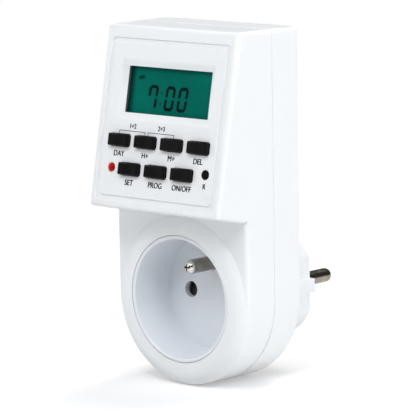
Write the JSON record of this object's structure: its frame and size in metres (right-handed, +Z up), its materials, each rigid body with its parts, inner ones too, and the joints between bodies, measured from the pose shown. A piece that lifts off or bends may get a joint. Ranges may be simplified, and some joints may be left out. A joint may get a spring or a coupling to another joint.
{
  "type": "plug-in timer switch",
  "caption": "Plug-in mains timer: tilted display head with keys over a round pin-earth socket, two-pin plug behind.",
  "frame": {"origin": "midway between the two plug pins, on the end face of the plug body", "axes": "+X right seen from the front, +Y back along the plug pins, +Z up"},
  "size_m": [0.0586, 0.0781, 0.119],
  "materials": {
    "white_plastic": "fine semi-gloss",
    "window": "clear",
    "lcd": "dark teal display glass",
    "grey_plastic": "matt",
    "grey_rubber": "matt",
    "clear_rubber": "translucent",
    "black_rubber": "carbon-filled",
    "green_board": "solder mask",
    "brown_board": "bare laminate",
    "black_resin": "matt",
    "blue_resin": "matt",
    "tan_resin": "matt",
    "orange_glass": "glass bead",
    "blue_plastic": "satin",
    "yellow_plastic": "satin",
    "cream_plastic": "matt",
    "red_plastic": "glossy",
    "black_plastic": "satin",
    "steel": "zinc plated",
    "nickel": "nickel plated",
    "brass": "plain",
    "brown_wire": "insulation",
    "black_wire": "insulation",
    "blue_wire": "insulation"
  },
  "bodies": {
    "housing": {"front_cover": "white_plastic", "rear_cover": "white_plastic", "control_panel": "white_plastic", "display_window": "window", "lcd_glass": "lcd", "lcd_holder": "grey_plastic", "zebra_strips": "grey_rubber", "logic_board": "green_board", "chip_cover": "black_resin", "timing_crystal": "steel", "backup_battery": "steel", "ribbon_cable": "grey_plastic", "key_mat": "clear_rubber", "status_led": "red_plastic", "board_screws": "steel", "socket_insert": "white_plastic", "shutter_spring": "steel", "contact_line": "brass", "contact_neutral": "brass", "contact_carrier": "cream_plastic", "plug_pin_line": "nickel", "plug_pin_neutral": "nickel", "earth_pin": "nickel", "earth_strap": "brass", "earth_receptacle": "brass", "earth_clip_top": "brass", "earth_clip_bottom": "brass", "power_board": "brown_board", "relay": "blue_plastic", "film_capacitor": "yellow_plastic", "smoothing_capacitor": "blue_plastic", "varistor": "blue_resin", "bridge_diodes": "black_resin", "resistors": "tan_resin", "zener_diode": "orange_glass", "transistor": "black_resin", "wire_line_in": "brown_wire", "wire_line_out": "black_wire", "wire_neutral": "blue_wire", "case_screws": "steel", "power_board_screws": "steel"},
    "weekday_key": {"key_weekday": "black_plastic", "pill_weekday": "black_rubber"},
    "hour_key": {"key_hour": "black_plastic", "pill_hour": "black_rubber"},
    "minute_key": {"key_minute": "black_plastic", "pill_minute": "black_rubber"},
    "clear_key": {"key_clear": "black_plastic", "pill_clear": "black_rubber"},
    "clock_key": {"key_clock": "black_plastic", "pill_clock": "black_rubber"},
    "program_key": {"key_program": "black_plastic", "pill_program": "black_rubber"},
    "mode_key": {"key_mode": "black_plastic", "pill_mode": "black_rubber"},
    "reset_key": {"reset_button": "black_plastic", "pill_reset": "black_rubber"},
    "shutter_body": {"shutter": "grey_plastic"}
  },
  "joints": [
    {"name": "weekday_press", "type": "slide", "parent": "housing", "child": "weekday_key", "axis": [0, 0.9816, -0.1908], "range_m": [0, 0.001], "stiffness_N_per_m": 600},
    {"name": "hour_press", "type": "slide", "parent": "housing", "child": "hour_key", "axis": [0, 0.9816, -0.1908], "range_m": [0, 0.001], "stiffness_N_per_m": 600},
    {"name": "minute_press", "type": "slide", "parent": "housing", "child": "minute_key", "axis": [0, 0.9816, -0.1908], "range_m": [0, 0.001], "stiffness_N_per_m": 600},
    {"name": "clear_press", "type": "slide", "parent": "housing", "child": "clear_key", "axis": [0, 0.9816, -0.1908], "range_m": [0, 0.001], "stiffness_N_per_m": 600},
    {"name": "clock_press", "type": "slide", "parent": "housing", "child": "clock_key", "axis": [0, 0.9816, -0.1908], "range_m": [0, 0.001], "stiffness_N_per_m": 600},
    {"name": "program_press", "type": "slide", "parent": "housing", "child": "program_key", "axis": [0, 0.9816, -0.1908], "range_m": [0, 0.001], "stiffness_N_per_m": 600},
    {"name": "mode_press", "type": "slide", "parent": "housing", "child": "mode_key", "axis": [0, 0.9816, -0.1908], "range_m": [0, 0.001], "stiffness_N_per_m": 600},
    {"name": "reset_press", "type": "slide", "parent": "housing", "child": "reset_key", "axis": [0, 0.9816, -0.1908], "range_m": [0, 0.001], "stiffness_N_per_m": 600},
    {"name": "shutter_slide", "type": "slide", "parent": "housing", "child": "shutter_body", "axis": [0, 0, -1], "range_m": [0, 0.0065], "stiffness_N_per_m": 90, "springref_m": -0.002, "deforming": ["shutter_spring"]}
  ]
}
